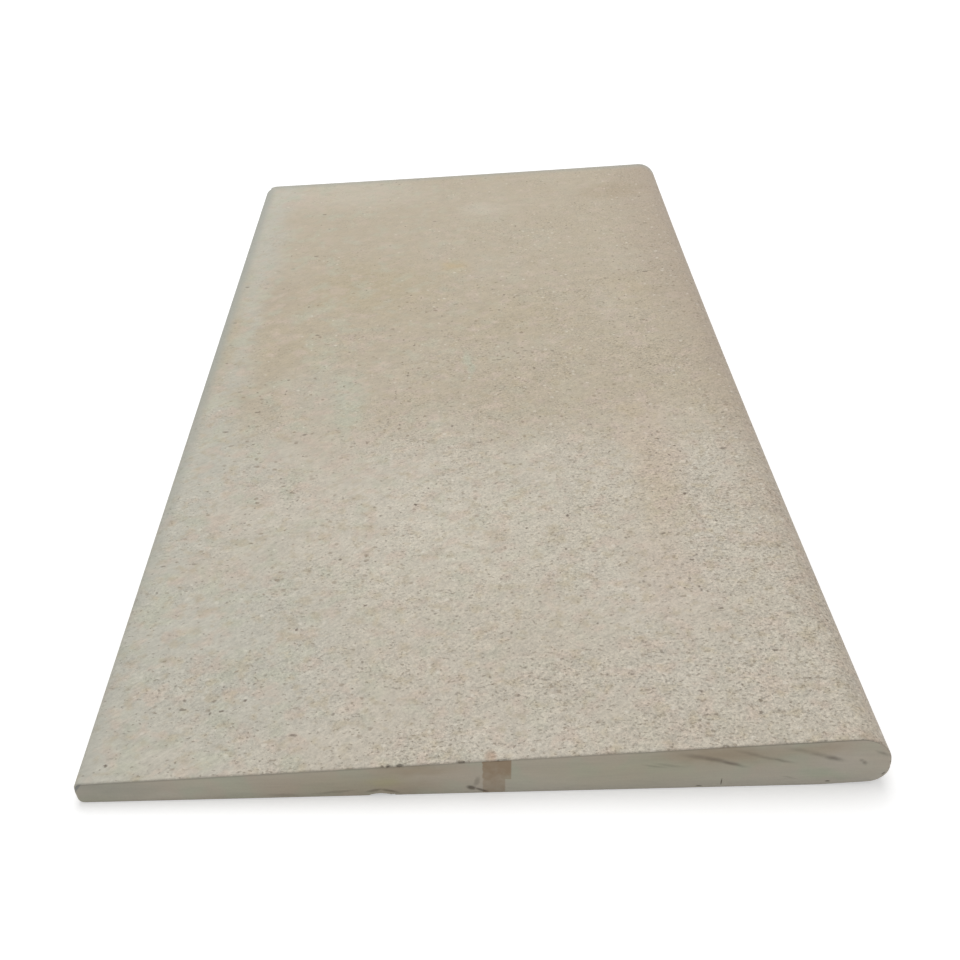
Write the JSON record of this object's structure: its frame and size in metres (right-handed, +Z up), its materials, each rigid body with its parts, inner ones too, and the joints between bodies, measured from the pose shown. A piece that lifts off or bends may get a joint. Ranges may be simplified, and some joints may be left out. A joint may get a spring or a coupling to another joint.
{
  "type": "bullnose stair tread tile",
  "caption": "Stone-look stair tread tile in one fired piece: a flat bed, a walking face that falls to a thin square back edge, and a fully rounded nose along the front.",
  "frame": {"origin": "middle of the bed, on the surface that the tile lies on", "axes": "+X from the back edge towards the rounded nose, +Y along the step, +Z up"},
  "size_m": [0.3, 0.6, 0.024],
  "materials": {
    "fired_body": "matt, finely sanded, mottled beige limestone look with dark specks; plain grey-beige body on the cut ends"
  },
  "bodies": {
    "root": {"tread_tile": "fired_body"}
  },
  "joints": []
}
